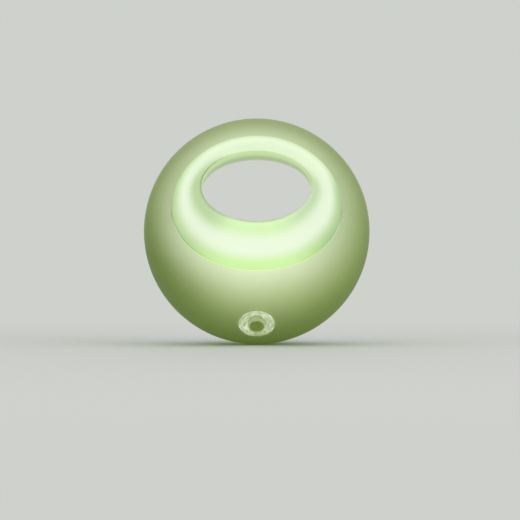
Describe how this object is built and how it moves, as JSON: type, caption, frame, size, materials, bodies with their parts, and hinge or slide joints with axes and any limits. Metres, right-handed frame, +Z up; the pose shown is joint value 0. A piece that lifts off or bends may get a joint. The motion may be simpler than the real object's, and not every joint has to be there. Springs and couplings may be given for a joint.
{
  "type": "plug in night light",
  "caption": "Ball-shaped plug-in night light: green translucent shell, glowing ring round a see-through hole, clear light sensor below, two-pin plug behind.",
  "frame": {"origin": "middle of the plug's face, between the two pins", "axes": "+Y along the pins, into the wall; the front with the light ring faces -Y; +Z up; +X to the right seen from the front"},
  "size_m": [0.076, 0.0908, 0.076],
  "materials": {
    "shell_green": "translucent satin",
    "ring_glow": "frosted, lit from behind",
    "collar_green": "translucent satin",
    "lens_clear": "clear plastic",
    "bezel_green": "translucent satin",
    "black_plastic": "matt",
    "cell_ceramic": "coated",
    "tinned_wire": "dull tin",
    "white_board": "solder mask",
    "green_board": "solder mask",
    "led_package": "moulded",
    "reflector_white": "matt",
    "red_insulation": "smooth",
    "yellow_epoxy": "smooth",
    "dark_sleeve": "shrink sleeve",
    "fuse_coating": "cement",
    "resistor_coating": "lacquer",
    "diode_glass": "glass body",
    "pin_metal": "nickel on brass",
    "screw_steel": "zinc plated"
  },
  "bodies": {
    "root": {"front_shell": "shell_green", "rear_shell": "shell_green", "light_ring": "ring_glow", "rear_collar": "collar_green", "sensor_lens": "lens_clear", "sensor_bezel": "bezel_green", "cell_shroud": "black_plastic", "photocell": "cell_ceramic", "cell_leads": "tinned_wire", "led_board": "white_board", "leds": "led_package", "reflector": "reflector_white", "led_wires": "red_insulation", "main_board": "green_board", "dropper_capacitor": "yellow_epoxy", "smoothing_capacitor": "dark_sleeve", "bridge_rectifier": "black_plastic", "fuse_resistor": "fuse_coating", "resistors": "resistor_coating", "zener_diode": "diode_glass", "control_transistor": "black_plastic", "plug_body": "shell_green", "live_pin": "pin_metal", "neutral_pin": "pin_metal", "live_sleeve": "shell_green", "neutral_sleeve": "shell_green", "case_screws": "screw_steel", "board_screws": "screw_steel"}
  },
  "joints": []
}
